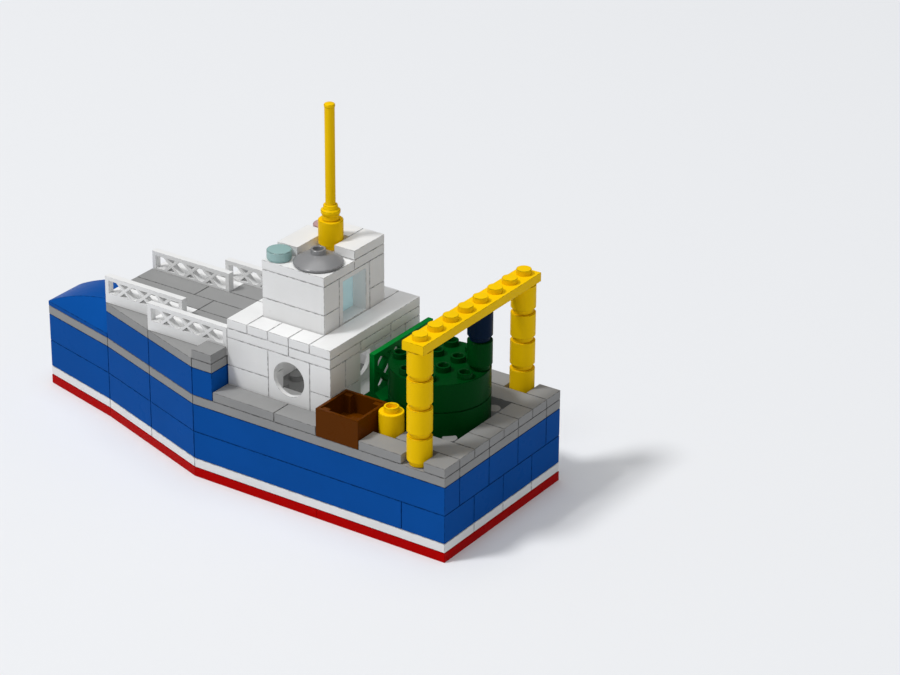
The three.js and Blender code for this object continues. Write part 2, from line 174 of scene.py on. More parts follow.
def prism(points, z0, z1, gap=SIDE_GAP):
    """An upright brick with the outline points (u, v), between two plate heights."""
    part = bmesh.new()
    outline = inset(grid_outline(points), gap)
    low = [part.verts.new((p.x, p.y, z_of(z0) + STACK_GAP)) for p in outline]
    high = [part.verts.new((p.x, p.y, z_of(z1) - STACK_GAP)) for p in outline]
    part.faces.new(low[::-1])
    part.faces.new(high)
    wall_round(part, low, high)
    soften(part, EDGE_ROUND)
    return part


def block(low, high, edge):
    """A box between two corners, with rounded edges."""
    part = bmesh.new()
    bmesh.ops.create_cube(part, size=1)
    low, high = Vector(low), Vector(high)
    bmesh.ops.scale(part, verts=part.verts, vec=high - low)
    bmesh.ops.translate(part, verts=part.verts, vec=(low + high) / 2)
    soften(part, edge)
    return part


def ring_points(centre, radius, sides):
    points = []
    for i in range(sides):
        angle = 2 * math.pi * i / sides
        points.append((centre[0] + radius * math.cos(angle), centre[1] + radius * math.sin(angle)))
    return points


def turned(profile, centre, sides):
    """A body turned about the upright axis through the centre: its profile is (radius, height) pairs."""
    part = bmesh.new()
    rings = []
    for radius, height in profile:
        ring = ring_points((0, 0), radius, sides) if radius > 0 else [(0, 0)]
        rings.append([part.verts.new((x, y, height)) for x, y in ring])
    closed = len(rings[0]) > 1
    order = list(range(len(rings))) + ([0] if closed else [])
    for p, q in zip(order, order[1:]):
        a, b = rings[p], rings[q]
        narrow = (Vector(profile[p]) - Vector(profile[q])).length < EDGE_WIDTH
        for i in range(sides):
            j = (i + 1) % sides
            corners = [a[i % len(a)], a[j % len(a)], b[j % len(b)], b[i % len(b)]]
            unique = list(dict.fromkeys(corners))
            if len(unique) > 2:
                part.faces.new(unique).material_index = EDGE if narrow else 0
    bmesh.ops.recalc_face_normals(part, faces=part.faces)
    bmesh.ops.translate(part, verts=part.verts, vec=centre)
    return part


def turned_mm(profile, centre, sides):
    """The same, with the profile in millimetres."""
    return turned([(radius * MM, height * MM) for radius, height in profile], centre, sides)


def stud(u, v, z, hollow=False):
    """A stud on a top face, its root sunk a little into it, its rim rounded in two steps."""
    top, rim = STUD_HEIGHT, STUD_RIM
    cut = 0.3 * rim
    profile = [(0, -STUD_ROOT), (STUD_RADIUS, -STUD_ROOT), (STUD_RADIUS, top - rim),
               (STUD_RADIUS - cut, top - cut), (STUD_RADIUS - rim, top)]
    if hollow:
        profile += [(STUD_HOLE_RADIUS + rim, top), (STUD_HOLE_RADIUS, top - rim),
                    (STUD_HOLE_RADIUS, STUD_HOLE_FLOOR), (0, STUD_HOLE_FLOOR)]
    else:
        profile += [(0, top)]
    return turned(profile, place(u, v, z), STUD_SIDES)


def flat_shape(loops, thickness, edge):
    """A flat plate in the XY plane from z = 0 up, cut from closed outlines, the first one outermost."""
    curve = bpy.data.curves.new("shape", "CURVE")
    curve.dimensions = "2D"
    curve.fill_mode = "BOTH"
    curve.extrude = thickness / 2 - edge
    curve.bevel_depth = edge
    curve.bevel_resolution = 1
    curve.offset = -edge
    for loop in loops:
        spline = curve.splines.new("POLY")
        spline.points.add(len(loop) - 1)
        for point, (x, y) in zip(spline.points, loop):
            point.co = (x, y, 0, 1)
        spline.use_cyclic_u = True
    holder = bpy.data.objects.new("shape", curve)
    bpy.context.scene.collection.objects.link(holder)
    graph = bpy.context.evaluated_depsgraph_get()
    mesh = bpy.data.meshes.new_from_object(holder.evaluated_get(graph))
    part = bmesh.new()
    part.from_mesh(mesh)
    bpy.data.objects.remove(holder)
    bpy.data.curves.remove(curve)
    bpy.data.meshes.remove(mesh)
    bmesh.ops.remove_doubles(part, verts=part.verts, dist=MERGE_DISTANCE)
    bmesh.ops.translate(part, verts=part.verts, vec=(0, 0, thickness / 2))
    bmesh.ops.recalc_face_normals(part, faces=part.faces)
    upright, level = 0.1, 0.95
    for face in part.faces:
        leans = upright < abs(face.normal.z) < level
        face.material_index = EDGE if leans else 0
    return part


def moved(part, matrix):
    bmesh.ops.transform(part, matrix=matrix, verts=part.verts)
    return part


# Surface of a moulding. Each noise has a scale, a detail and a roughness. A span is the stretch of its
# values that counts, and the tones, shares or shifts are what the two ends of that stretch give.
CLOUDS = dict(scale=55, detail=3, roughness=0.55)
CLOUD_SPAN, CLOUD_TONES = (0.35, 0.65), (0.965, 1.03)
SCUFFS = dict(scale=700, detail=2, roughness=0.55)
SCUFF_SPAN, SCUFF_SHARES, WORN_TONE = (0.40, 0.62), (0.2, 1.0), 0.5
SMEARS = dict(scale=160, detail=4, roughness=0.6)
SMEAR_SPAN, SMEAR_SHIFTS = (0.3, 0.7), (-0.05, 0.08)
GRAIN = dict(scale=5200, detail=2, roughness=0.55)
WAVES = dict(scale=240, detail=1, roughness=0.55)
WAVE_WEIGHT = 6.0
RELIEF = dict(Strength=0.25, Distance=0.01 * MM)
PLASTIC_IOR = 1.54


def set_inputs(node, values):
    """Sets a shader node's sockets, given by name."""
    for name, value in values.items():
        node.inputs[name].default_value = value


def noise(tree, coordinates, scale, detail, roughness):
    made = tree.nodes.new("ShaderNodeTexNoise")
    set_inputs(made, {"Scale": scale, "Detail": detail, "Roughness": roughness})
    tree.links.new(coordinates, made.inputs["Vector"])
    return made.outputs["Fac"]


def ramp(tree, source, span, result):
    """Stretches a span of the source's values to the two ends of the result."""
    made = tree.nodes.new("ShaderNodeMapRange")
    set_inputs(made, {"From Min": span[0], "From Max": span[1], "To Min": result[0], "To Max": result[1]})
    tree.links.new(source, made.inputs["Value"])
    return made.outputs["Result"]


def worn_colour(tree, coordinates, colour):
    """Clouding of the colour within a moulding, and edges dulled by dust and handling."""
    dark, light = (tuple(min(1.0, c * tone) for c in colour) for tone in CLOUD_TONES)
    body = tree.nodes.new("ShaderNodeMix")
    body.data_type = "RGBA"
    set_inputs(body, {"A": (*dark, 1), "B": (*light, 1)})
    clouds = ramp(tree, noise(tree, coordinates, **CLOUDS), CLOUD_SPAN, (0.0, 1.0))
    tree.links.new(clouds, body.inputs["Factor"])
    edges = tree.nodes.new("ShaderNodeAttribute")
    edges.attribute_name = "worn_edge"
    broken = tree.nodes.new("ShaderNodeMath")
    broken.operation = "MULTIPLY"
    scuffs = ramp(tree, noise(tree, coordinates, **SCUFFS), SCUFF_SPAN, SCUFF_SHARES)
    tree.links.new(edges.outputs["Fac"], broken.inputs[0])
    tree.links.new(scuffs, broken.inputs[1])
    worn = tree.nodes.new("ShaderNodeMix")
    worn.data_type = "RGBA"
    dulled = tuple(c * WORN_TONE for c in colour)
    set_inputs(worn, {"B": (*dulled, 1)})
    tree.links.new(body.outputs["Result"], worn.inputs["A"])
    tree.links.new(broken.outputs["Value"], worn.inputs["Factor"])
    return worn.outputs["Result"]


def relief(tree, coordinates):
    """A moulded grain and slow waviness."""
    height = tree.nodes.new("ShaderNodeMath")
    height.operation = "MULTIPLY_ADD"
    height.inputs[1].default_value = WAVE_WEIGHT
    tree.links.new(noise(tree, coordinates, **WAVES), height.inputs[0])
    tree.links.new(noise(tree, coordinates, **GRAIN), height.inputs[2])
    bump = tree.nodes.new("ShaderNodeBump")
    set_inputs(bump, RELIEF)
    tree.links.new(height.outputs["Value"], bump.inputs["Height"])
    return bump.outputs["Normal"]


def plastic(slot, colour, roughness=0.3, clear=0.0, metal=0.0, gloss=0.1, alpha=1.0, painted_glow=0.0):
    """Moulded plastic: faint clouding of the colour, rubbed edges, a fine grain and handling marks, and a
    painted glow where one is given.
    """
    material = bpy.data.materials.new(slot)
    material.use_nodes = True
    tree = material.node_tree
    shader = tree.nodes["Principled BSDF"]
    set_inputs(shader, {
        "Metallic": metal,
        "IOR": PLASTIC_IOR,
        "Specular IOR Level": gloss,
        "Transmission Weight": clear,
        "Alpha": alpha,
        # A glow above zero is painted light: the part gives off light in its own colour though it is no
        # lamp.
        "Emission Color": (*colour, 1),
        "Emission Strength": painted_glow,
    })
    coordinates = tree.nodes.new("ShaderNodeTexCoord").outputs["Object"]
    shifted = tuple(roughness + shift for shift in SMEAR_SHIFTS)
    smears = ramp(tree, noise(tree, coordinates, **SMEARS), SMEAR_SPAN, shifted)
    tree.links.new(worn_colour(tree, coordinates, colour), shader.inputs["Base Color"])
    tree.links.new(smears, shader.inputs["Roughness"])
    tree.links.new(relief(tree, coordinates), shader.inputs["Normal"])
    return material


# Each slot's finish, where it differs from a plain plastic
FINISH_ROWS = {
    "red_plastic": dict(colour=(0.43, 0.0, 0.0), gloss=0.02),
    "white_plastic": dict(colour=(0.80, 0.80, 0.796), roughness=0.32, gloss=0.2),
    "blue_plastic": dict(colour=(0.004, 0.073, 0.32), gloss=0.008),
    "grey_plastic": dict(colour=(0.275, 0.275, 0.273), roughness=0.34, gloss=0.04),
    "yellow_plastic": dict(colour=(0.87, 0.54, 0.002), gloss=0.02),
    "dark_green_plastic": dict(colour=(0.0, 0.044, 0.006), gloss=0.02),
    "green_plastic": dict(colour=(0.0, 0.175, 0.025), gloss=0.03),
    "navy_plastic": dict(colour=(0.002, 0.010, 0.030), gloss=0.03),
    "brown_plastic": dict(colour=(0.100, 0.025, 0.0), gloss=0.03),
    "silver_plastic": dict(colour=(0.245, 0.245, 0.25), metal=0.05, gloss=0.35),
    "teal_clear": dict(colour=(0.37, 0.57, 0.56), roughness=0.14, clear=0.25, gloss=0.5),
    "red_clear": dict(colour=(0.72, 0.47, 0.47), roughness=0.14, clear=0.35, gloss=0.5),
    # The glass's glow is painted light: it stands in for light coming through the pane from the
    # wheelhouse's front window.
    "blue_glass": dict(colour=(0.68, 0.93, 1.0), roughness=0.08, gloss=0.5, alpha=0.85, painted_glow=0.06),
}
FINISHES = {slot: plastic(slot, **row) for slot, row in FINISH_ROWS.items()}

# Each node's slot and body, from the record
SLOT_OF = {row["node"]: row["material_slot"] for row in frame["record"]["subparts"]}
BODY_OF = {
    node: body for body, nodes in frame["record"]["behaviour"]["bodies"].items() for node in nodes
}

# Mouldings. Edges flatter than these angles are shaded smooth, on most pieces and on the rounded bow piece.
SMOOTH_ANGLE = math.radians(40)
BOW_SMOOTH_ANGLE = math.radians(50)
FULL_WEIGHT = 100


def moulding(node, parts, smooth=SMOOTH_ANGLE):
    """One shown piece made of a node's bricks, in place of the node's plain solid."""
    whole = bmesh.new()
    for part in parts:
        absorb(whole, part)
    mesh = bpy.data.meshes.new(node + "_moulding")
    whole.to_mesh(mesh)
    whole.free()
    worn = [float(face.material_index == EDGE) for face in mesh.polygons]
    mesh.attributes.new("worn_edge", "FLOAT", "FACE").data.foreach_set("value", worn)
    mesh.polygons.foreach_set("material_index", [0] * len(mesh.polygons))
    mesh.polygons.foreach_set("use_smooth", [True] * len(mesh.polygons))
    mesh.set_sharp_from_angle(angle=smooth)
    piece = bpy.data.objects.new(node + "_moulding", mesh)
    bpy.context.scene.collection.objects.link(piece)
    slot = SLOT_OF[node]
    mesh.materials.append(FINISHES[slot])
    weighted = piece.modifiers.new("weighted_normals", "WEIGHTED_NORMAL")
    weighted.keep_sharp = True
    weighted.weight = FULL_WEIGHT
    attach(piece, BODY_OF[node])
    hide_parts(node)


def mirrored(points):
    return [(u, BEAM - v) for u, v in points]


# Hull: outlines of the plates and bricks that make the bow
BOW_WEDGES = [
    [(12, 0), (15, 1), (15, 4), (12, 4)],
    [(15, 1), (18, 2), (18, 4), (15, 4)],
]
BOW_TIP = [(18, 2), (22, 3), (22, 5), (18, 6)]
BOW = BOW_WEDGES + [mirrored(points) for points in BOW_WEDGES] + [BOW_TIP]

# Underside of the bottom plates: walls and ceiling, and the tubes that grip studs
UNDERSIDE = dict(wall=1.5 * MM, depth=2.1 * MM, gap=0.03 * MM, edge=0.05 * MM)
TUBE = dict(outer=3.25 * MM, inner=2.4 * MM, foot=0.05 * MM, root=0.2 * MM)


def hollow_plate(points):
    """A bottom plate with the outline points (u, v), open from below."""
    part = bmesh.new()
    outer = inset(grid_outline(points), UNDERSIDE["gap"])
    inner = inset(outer, UNDERSIDE["wall"])
    ceiling, ground, top = z_of(0) + UNDERSIDE["depth"], z_of(0), z_of(1) - STACK_GAP
    rows = ((inner, ceiling), (inner, ground), (outer, ground), (outer, top))
    loops = [[part.verts.new((p.x, p.y, height)) for p in outline] for outline, height in rows]
    part.faces.new(loops[0][::-1])
    part.faces.new(loops[-1])
    for a, b in zip(loops, loops[1:]):
        wall_round(part, a, b)
    bmesh.ops.recalc_face_normals(part, faces=part.faces)
    soften(part, UNDERSIDE["edge"])
    return part


def is_inside(point, outline):
    """Whether a point lies within a convex, counter-clockwise outline."""
    return all(
        (b - a).x * (point - a).y - (b - a).y * (point - a).x > 0
        for a, b in zip(outline, outline[1:] + outline[:1])
    )


def bottom_plates():
    """The plates, with a tube at each crossing of the grid that has room for one."""
    half_bow = [(12, 0), (18, 2), (18, 4), (12, 4)]
    plates = [rectangle(0, 6, 0, BEAM), rectangle(6, 12, 0, BEAM), half_bow, mirrored(half_bow), BOW_TIP]
    outer, inner, foot = TUBE["outer"], TUBE["inner"], TUBE["foot"]
    top = UNDERSIDE["depth"] + TUBE["root"]
    profile = [(inner, foot), (outer, foot), (outer, top), (inner, top)]
    parts = []
    for points in plates:
        parts.append(hollow_plate(points))
        room = inset(grid_outline(points), UNDERSIDE["wall"] + outer)
        for u in range(1, LENGTH):
            for v in range(1, BEAM):
                if is_inside(Vector((x_of(u), y_of(v))), room):
                    parts.append(turned(profile, place(u, v, 0), TUBE_SIDES))
    return parts


# Each course: node, plate heights, the rectangles u0, u1, v0, v1 of its bricks abaft the bow, and the
# outlines of its bricks in the bow
STERN_PAIRS = [(0, 2), (2, 4), (4, 6), (6, 8)]
COURSES = {
    "waterline_plates": (1, 2, [(0, 12, a, b) for a, b in STERN_PAIRS], BOW),
    "hull_bricks_lower_aft": (
        2, 5, [(0, 2, a, b) for a, b in STERN_PAIRS] + [(2, 12, 0, 2), (2, 12, 6, 8)], []),
    "hull_bricks_lower_bow": (2, 5, [], BOW),
    "hull_bricks_upper_aft": (
        5, 8, [(0, 12, 0, 1), (0, 2, 1, 3), (0, 2, 3, 5), (0, 2, 5, 7), (0, 12, 7, 8)], []),
    "hull_bricks_upper_bow": (5, 8, [], BOW),
    "foredeck_bricks": (9, 12, [(11, 12, 0, 1), (11, 12, 1, 7), (11, 12, 7, 8)], BOW[:4]),
    "foredeck_plate": (12, 13, [(11, 12, 0, 1), (11, 12, 1, 7), (11, 12, 7, 8)], BOW[:4]),
}


def course(z0, z1, rectangles, outlines):
    return [prism(rectangle(*r), z0, z1) for r in rectangles] + [prism(o, z0, z1) for o in outlines]


def deck_plates():
    """The deck's plates, with studs wherever nothing covers them: on the open deck and in the cabin."""
    rectangles = [(0, 12, 0, 1), (0, 6, 1, 3), (0, 6, 3, 5), (0, 6, 5, 7), (0, 12, 7, 8), (6, 12, 1, 7)]
    bare = [(1.5, 2.5), (1.5, 5.5), (4.5, 2.5), (4.5, 5.5), (5.5, 2.5)]
    bare += [(u + 0.5, v + 0.5) for u in range(7, 10) for v in range(2, 6)]
    return course(DECK - 1, DECK, rectangles, BOW) + [stud(u, v, DECK) for u, v in bare]


# Blocks: node to rows of u0, u1, v0, v1, z0, z1
TILES = {
    "stern_tiles": [(0, 1, 0, 1, 9, 10), (0, 3, 1, 2, 9, 10)]
    + [(0, 1, v, v + 1, 9, 10) for v in range(2, 6)]
    + [(0, 3, 6, 7, 9, 10), (3, 5, 6, 7, 9, 10), (0, 1, 7, 8, 9, 10)],
    "port_gunwale_tile_aft": [(2, 4, 0, 1, 9, 10)],
    "port_gunwale_tiles_fore": [(6, 8, 0, 1, 9, 10), (8, 11, 0, 1, 9, 10)],
    "starboard_gunwale_tiles": [(2, 4, 7, 8, 9, 10), (4, 8, 7, 8, 9, 10), (8, 11, 7, 8, 9, 10)],
    "step_tile_port": [(11, 12, 0, 1, 13, 14)],
    "step_tile_starboard": [(11, 12, 7, 8, 13, 14)],
    "foredeck_tiles_port": [(11, 14, 2, 3, 13, 14), (11, 14, 3, 4, 13, 14), (14, 18, 3, 4, 13, 14)],
    "foredeck_tiles_starboard": [(11, 15, 4, 5, 13, 14), (15, 18, 4, 5, 13, 14), (11, 14, 5, 6, 13, 14)],
    "cabin_front_bricks_lower": [
        (9, 11, 1, 2, 9, 12), (10, 11, 2, 4, 9, 12), (10, 11, 4, 6, 9, 12), (9, 11, 6, 7, 9, 12)],
    "cabin_front_bricks_upper": [
        (9, 11, 1, 2, 12, 15), (10, 11, 2, 6, 12, 15), (9, 11, 6, 7, 12, 15)],
    "cabin_aft_bricks_port": [(6, 7, 1, 3, 9, 12), (6, 7, 1, 2, 12, 15), (6, 7, 2, 3, 12, 15)],
    "cabin_aft_bricks_starboard": [(6, 7, 5, 7, 9, 12), (6, 7, 5, 6, 12, 15), (6, 7, 6, 7, 12, 15)],
    "cabin_roof_plates": [
        (6, 8, 1, 3, 15, 16), (8, 11, 1, 3, 15, 16), (6, 11, 3, 5, 15, 16), (6, 8, 5, 7, 15, 16),
        (8, 11, 5, 7, 15, 16)],
    "cabin_roof_tiles": [
        (6, 7, 1, 7, 16, 17), (7, 8, 1, 2, 16, 17), (8, 9, 1, 2, 16, 17), (9, 10, 1, 2, 16, 17),
        (10, 11, 1, 3, 16, 17), (10, 11, 3, 5, 16, 17), (10, 11, 5, 7, 16, 17), (7, 10, 6, 7, 16, 17)],
    "wheelhouse_wall_port": [(7, 10, 2, 3, 16, 19), (7, 10, 2, 3, 19, 22)],
    "wheelhouse_wall_starboard": [(7, 10, 5, 6, 16, 19), (7, 10, 5, 6, 19, 22)],
    "wheelhouse_roof_plate_starboard": [(7, 10, 4, 6, 22, 23)],
    "roof_tile_aft": [(7, 8, 4, 6, 23, 24)],
    "roof_tile_side": [(8, 9, 5, 6, 23, 24)],
    "roof_tile_fore": [(9, 10, 3, 5, 23, 24)],
}


def eased(points, corners, width):
    """A section's points with the named corners cut to small rounds, at most a share of a side wide."""
    share = 0.4
    out = []
    for i, point in enumerate(points):
        if i not in corners:
            out.append(point)
            continue
        here = Vector(point)
        before, after = Vector(points[i - 1]), Vector(points[(i + 1) % len(points)])
        a = here + (before - here).normalized() * min(width, (before - here).length * share)
        b = here + (after - here).normalized() * min(width, (after - here).length * share)
        out += [a, (a + b + here * 2) / 4, b]
    return out


# Bow piece: its ends, its outer edge at both ends and its ridge in studs, its rim and top in plates, the
# radius of the ridge's arc, the bulge of the shoulders, and the least size that a shoulder keeps
WEDGE = dict(start=18, end=22, edge_start=2, edge_end=3, ridge=3, rim=9.45, top=12, radius=68 * MM,
             bulge=0.16, least_height=0.03 * MM, least_reach=0.03, edge=0.22 * MM)
WEDGE_STATIONS, SHOULDER_STEPS = 28, 6


def bow_section(share):
    """The section at a share of the length: points (y, height) from the port foot to the starboard foot."""
    span = WEDGE["end"] - WEDGE["start"]
    back = span * share * STUD
    drop = WEDGE["radius"] - math.sqrt(WEDGE["radius"] ** 2 - back ** 2)
    rim = z_of(WEDGE["rim"])
    top = max(z_of(WEDGE["top"]) - drop, rim + WEDGE["least_height"]) - STACK_GAP
    edge = WEDGE["edge_start"] + (WEDGE["edge_end"] - WEDGE["edge_start"]) * share
    reach = max(WEDGE["ridge"] - edge, WEDGE["least_reach"])
    half = [(y_of(edge) - SIDE_GAP, z_of(DECK) + STACK_GAP)]
    for k in range(SHOULDER_STEPS + 1):
        along = k / SHOULDER_STEPS
        lift = along + WEDGE["bulge"] * along * (1 - along)
        half.append((y_of(edge + reach * along) - SIDE_GAP, rim + (top - rim) * lift))
    ring = half + [(-y, height) for y, height in reversed(half)]
    rim_corner, ridge_corner = 1, SHOULDER_STEPS + 1
    last = len(ring) - 1
    corners = {rim_corner, ridge_corner, last - ridge_corner, last - rim_corner}
    return eased(ring, corners, WEDGE["edge"])


def bow_wedge():
    """The bow piece: a flat ridge that falls to the stem along an arc, with sloping shoulders."""
    part = bmesh.new()
    sections = []
    for i in range(WEDGE_STATIONS + 1):
        x = x_of(WEDGE["start"] + (WEDGE["end"] - WEDGE["start"]) * i / WEDGE_STATIONS)
        x += SIDE_GAP if i == 0 else 0
        x -= SIDE_GAP if i == WEDGE_STATIONS else 0
        section = bow_section(i / WEDGE_STATIONS)
        sections.append([part.verts.new((x, y, height)) for y, height in section])
    first = sections[0]
    for a, b in zip(sections, sections[1:]):
        for i in range(len(first)):
            j = (i + 1) % len(first)
            narrow = (first[i].co - first[j].co).length < EDGE_WIDTH
            part.faces.new((a[i], a[j], b[j], b[i])).material_index = EDGE if narrow else 0
    part.faces.new(first)
    part.faces.new(sections[-1][::-1])
    bmesh.ops.recalc_face_normals(part, faces=part.faces)
    return [part]


# Foredeck fences: the grid place of each one's corner to port and aft. The panel with crossed bars runs
# along its port edge, and a base strip lies behind it.
FENCES = {
    "fence_port_fore": (14, 2),
    "fence_port_aft": (11, 1),
    "fence_starboard_fore": (14, 5),
    "fence_starboard_aft": (11, 6),
}

# A fence: its bays are a stud long, its holes span low to high, and the crossed bars lean by reach
FENCE_BAYS = 4
FENCE = dict(height=9.4 * MM, thickness=2.3 * MM, post=1.6 * MM, low=3.6 * MM, high=8.0 * MM,
             reach=2.5 * MM, half_bar=0.5 * MM, edge=0.07 * MM, overlap=0.3 * MM)


def fence_loops():
    """The panel's outline, then its holes: one in each bay, and two small ones between bays."""
    length = FENCE_BAYS * STUD
    post, low, high, reach, half_bar = (FENCE[k] for k in ("post", "low", "high", "reach", "half_bar"))
    middle, rise = (low + high) / 2, (high - low) / 2
    slope = math.hypot(reach, rise)
    # Half a leaning bar's width measured sideways and upwards, and half the width of a small hole
    beside, above = half_bar * slope / rise, half_bar * slope / reach
    flare = reach * (rise - above) / rise
    loops = [rectangle(SIDE_GAP, length - SIDE_GAP, 0, FENCE["height"])]
    last = FENCE_BAYS - 1
    for k in range(FENCE_BAYS):
        start, end = k * STUD, (k + 1) * STUD
        if k == 0:
            left = [(post, high), (post, low)]
        else:
            left = [(start + beside + reach, high), (start + beside, middle), (start + beside + reach, low)]
        if k == last:
            right = [(length - post, low), (length - post, high)]
        else:
            right = [(end - beside - reach, low), (end - beside, middle), (end - beside - reach, high)]
        loops.append(left + right)
        if k < last:
            for tip, wide in ((middle + above, high), (middle - above, low)):
                loops.append([(end, tip), (end + flare, wide), (end - flare, wide)])
    return loops


def fence(u, v):
    panel = flat_shape(fence_loops(), FENCE["thickness"], FENCE["edge"])
    corner = place(u, v, FOREDECK) - Vector((0, SIDE_GAP, 0))
    upright = Matrix.Translation(corner) @ Matrix.Rotation(math.pi / 2, 4, "X")
    behind = (FENCE["thickness"] - FENCE["overlap"]) / STUD
    strip = rectangle(u, u + FENCE_BAYS, v + behind, v + 1)
    return [moved(panel, upright), prism(strip, FOREDECK, FOREDECK + 1, gap=SIDE_GAP + TUCK)]


# Porthole panels: a thin face with a round hole, on a shelf one plate high and under a thin flange.
# Each row is the grid place of the face's lower corner and the turn of the panel about it, in degrees.
PORTHOLES = {
    "porthole_panel_port": (7, 1, 0),
    "porthole_panel_starboard": (9, 7, 180),
    "porthole_panel_aft": (7, 3, -90),
}
PORTHOLE = dict(length=2 * STUD, height=2 * BRICK * PLATE, middle=3.5 * PLATE, radius=5.8 * MM,
                face=1.6 * MM, flange=1 * MM, overlap=0.2 * MM)


def panel_outline(length, height):
    """The outline of an upright panel, with its hair gaps."""
    return rectangle(SIDE_GAP, length - SIDE_GAP, STACK_GAP, height - STACK_GAP)


def porthole_panel(u, v, turn):
    length, height, face, flange = (PORTHOLE[k] for k in ("length", "height", "face", "flange"))
    side, stack = SIDE_GAP, STACK_GAP
    hole = ring_points((length / 2, PORTHOLE["middle"]), PORTHOLE["radius"], ROUND_SIDES)
    stand = Matrix.Translation((0, -side, 0)) @ Matrix.Rotation(math.pi / 2, 4, "X")
    parts = [moved(flat_shape([panel_outline(length, height), hole], face, PANEL_ROUND), stand)]
    inside, back, front = side + TUCK, side + TUCK - STUD, PORTHOLE["overlap"] - face
    for low, high in ((stack + TUCK, PLATE), (height - flange, height - stack - TUCK)):
        parts.append(block((inside, back, low), (length - inside, front, high), FINE_ROUND))
    set_up = Matrix.Translation(place(u, v, DECK)) @ Matrix.Rotation(math.radians(turn), 4, "Z")
    return [moved(part, set_up) for part in parts]


# Wheelhouse windows: where the frames' after faces and sides lie and the width of a jamb, all in studs, and
# the heights of sill and head in plates
WINDOW_FRAMES = {"window_frame_aft": 7, "window_frame_fore": 9}
WINDOW = dict(v0=3, v1=5, jamb=0.25, sill=1.05, head=0.55)
PANES = ("window_glass_aft", "window_glass_fore")
PANE_ROUND = 0.1 * MM


def standing(corner, x):
    """Stands a flat shape across the hull: its x runs to port, its y up, its back lies at the given x."""
    return Matrix(((0, 0, 1, x), (1, 0, 0, corner.y), (0, 1, 0, corner.z), (0, 0, 0, 1)))


def window_frame(u):
    width = (WINDOW["v1"] - WINDOW["v0"]) * STUD
    height = (WHEELHOUSE_WALLS - WHEELHOUSE_FOOT) * PLATE
    jamb, sill, head = WINDOW["jamb"] * STUD, WINDOW["sill"] * PLATE, WINDOW["head"] * PLATE
    opening = rectangle(jamb, width - jamb, sill, height - head)
    frame_part = flat_shape([panel_outline(width, height), opening], STUD - 2 * SIDE_GAP, PANEL_ROUND)
    corner = place(u, WINDOW["v1"], WHEELHOUSE_FOOT)
    return [moved(frame_part, standing(corner, corner.x + SIDE_GAP))]


def pane(node):
    return [block(*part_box(node), PANE_ROUND)]


# Round bricks: the body, and the neck under it
ROUND = dict(radius=3.97 * MM, neck=3.2 * MM, neck_height=1.6 * MM, rim=0.15 * MM)


def round_brick(u, v, z):
    radius, neck, neck_height, rim = (ROUND[k] for k in ("radius", "neck", "neck_height", "rim"))
    top = BRICK * PLATE - STACK_GAP
    profile = [(0, STACK_GAP), (neck, STACK_GAP), (neck, neck_height), (radius - rim, neck_height),
               (radius, neck_height + rim), (radius, top - rim), (radius - rim, top), (0, top)]
    return turned(profile, place(u, v, z), ROUND_SIDES)


# Gantry: where its pillars of round bricks stand, in studs, under a beam as long as the hull is wide
GANTRY_U = 1.5
PILLARS = {"gantry_pillar_port": 0.5, "gantry_pillar_starboard": BEAM - 0.5}
PILLAR_BRICKS = 4


def pillar(v):
    return [round_brick(GANTRY_U, v, DECK + BRICK * i) for i in range(PILLAR_BRICKS)]


def gantry_beam():
    foot = DECK + BRICK * PILLAR_BRICKS
    beam = prism(rectangle(GANTRY_U - 0.5, GANTRY_U + 0.5, 0, BEAM), foot, foot + 1)
    return [beam] + [stud(GANTRY_U, v + 0.5, foot + 1) for v in range(BEAM)]


# Net drum: its axis in studs, and four rows of studs on top, but none at the corners or under the column
DRUM = dict(u=3, v=4, radius=15.95 * MM, rim=0.2 * MM)
DRUM_ROW = (-1.5, -0.5, 0.5, 1.5)
COLUMN = (1.5, 4.5)


def drum(z):
    radius, rim, top = DRUM["radius"], DRUM["rim"], BRICK * PLATE - STACK_GAP
    profile = [(0, STACK_GAP), (radius - rim, STACK_GAP), (radius, STACK_GAP + rim), (radius, top - rim),
               (radius - rim, top), (0, top)]
    return turned(profile, place(DRUM["u"], DRUM["v"], z), DRUM_SIDES)


def drum_studs():
    parts = []
    for along in DRUM_ROW:
        for across in DRUM_ROW:
            at = (DRUM["u"] + along, DRUM["v"] + across)
            corner = abs(along) == abs(across) == DRUM_ROW[-1]
            if not corner and at != COLUMN:
                parts.append(stud(*at, DECK + 2 * BRICK, hollow=True))
    return parts


# Trellis: a panel of crossed bars across the deck, on a foot with sloping top faces. Its holes are squares
# on their corners in rows half a pitch apart, cut to the panel's frame.
TRELLIS = dict(u=5.5, v0=3, v1=7, height=19.2 * MM, thickness=2 * MM, post=2 * MM, rail=1.7 * MM,
               base=3.7 * MM, base_top=6.2 * MM, base_width=7.6 * MM, pitch=8 * MM, lowest=3.4 * MM,
               bar=1.6 * MM)
TRELLIS_ROWS, TRELLIS_STEPS = 5, 5


def clipped(loop, low, high):
    """A convex loop cut to the rectangle between two corners."""
    nil = 1e-9
    for axis, limit, sign in ((0, low[0], 1), (0, high[0], -1), (1, low[1], 1), (1, high[1], -1)):
        kept = []
        for i, point in enumerate(loop):
            before = loop[i - 1]
            inside = sign * (point[axis] - limit) > nil
            was_inside = sign * (before[axis] - limit) > nil
            if inside != was_inside:
                t = (limit - before[axis]) / (point[axis] - before[axis])
                kept.append(tuple(b + (p - b) * t for b, p in zip(before, point)))
            if inside:
                kept.append(point)
        loop = kept
    return loop


def trellis_holes(low, high):
    pitch, bar = TRELLIS["pitch"], TRELLIS["bar"]
    half = (pitch - bar * math.sqrt(2)) / 2
    holes = []
    for row in range(TRELLIS_ROWS):
        z = TRELLIS["lowest"] + row * pitch / 2
        for step in range(TRELLIS_STEPS):
            y = step * pitch + (pitch / 2 if row % 2 else 0)
            hole = clipped([(y - half, z), (y, z - half), (y + half, z), (y, z + half)], low, high)
            if len(hole) > 2:
                holes.append(hole)
    return holes


